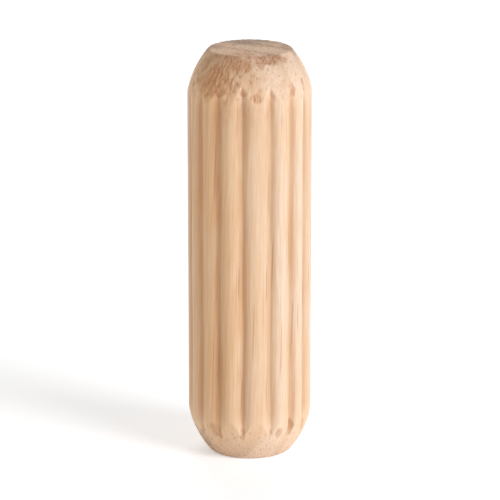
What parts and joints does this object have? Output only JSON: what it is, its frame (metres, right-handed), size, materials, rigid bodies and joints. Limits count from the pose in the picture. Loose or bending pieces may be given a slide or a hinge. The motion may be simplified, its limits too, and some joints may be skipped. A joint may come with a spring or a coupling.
{
  "type": "dowel pin",
  "caption": "Straight wooden pin with shallow lengthwise flutes and rounded ends, glued into matching drilled holes to line up and join two boards.",
  "frame": {"origin": "centre of the lower end face, on the pin's axis", "axes": "+Z along the pin's axis from the lower end to the upper end; the pin stands on its lower end"},
  "size_m": [0.0096, 0.0096, 0.0318],
  "materials": {
    "wood": "bare pale hardwood, pressed and unsanded"
  },
  "bodies": {
    "root": {"dowel_pin": "wood"}
  },
  "joints": []
}
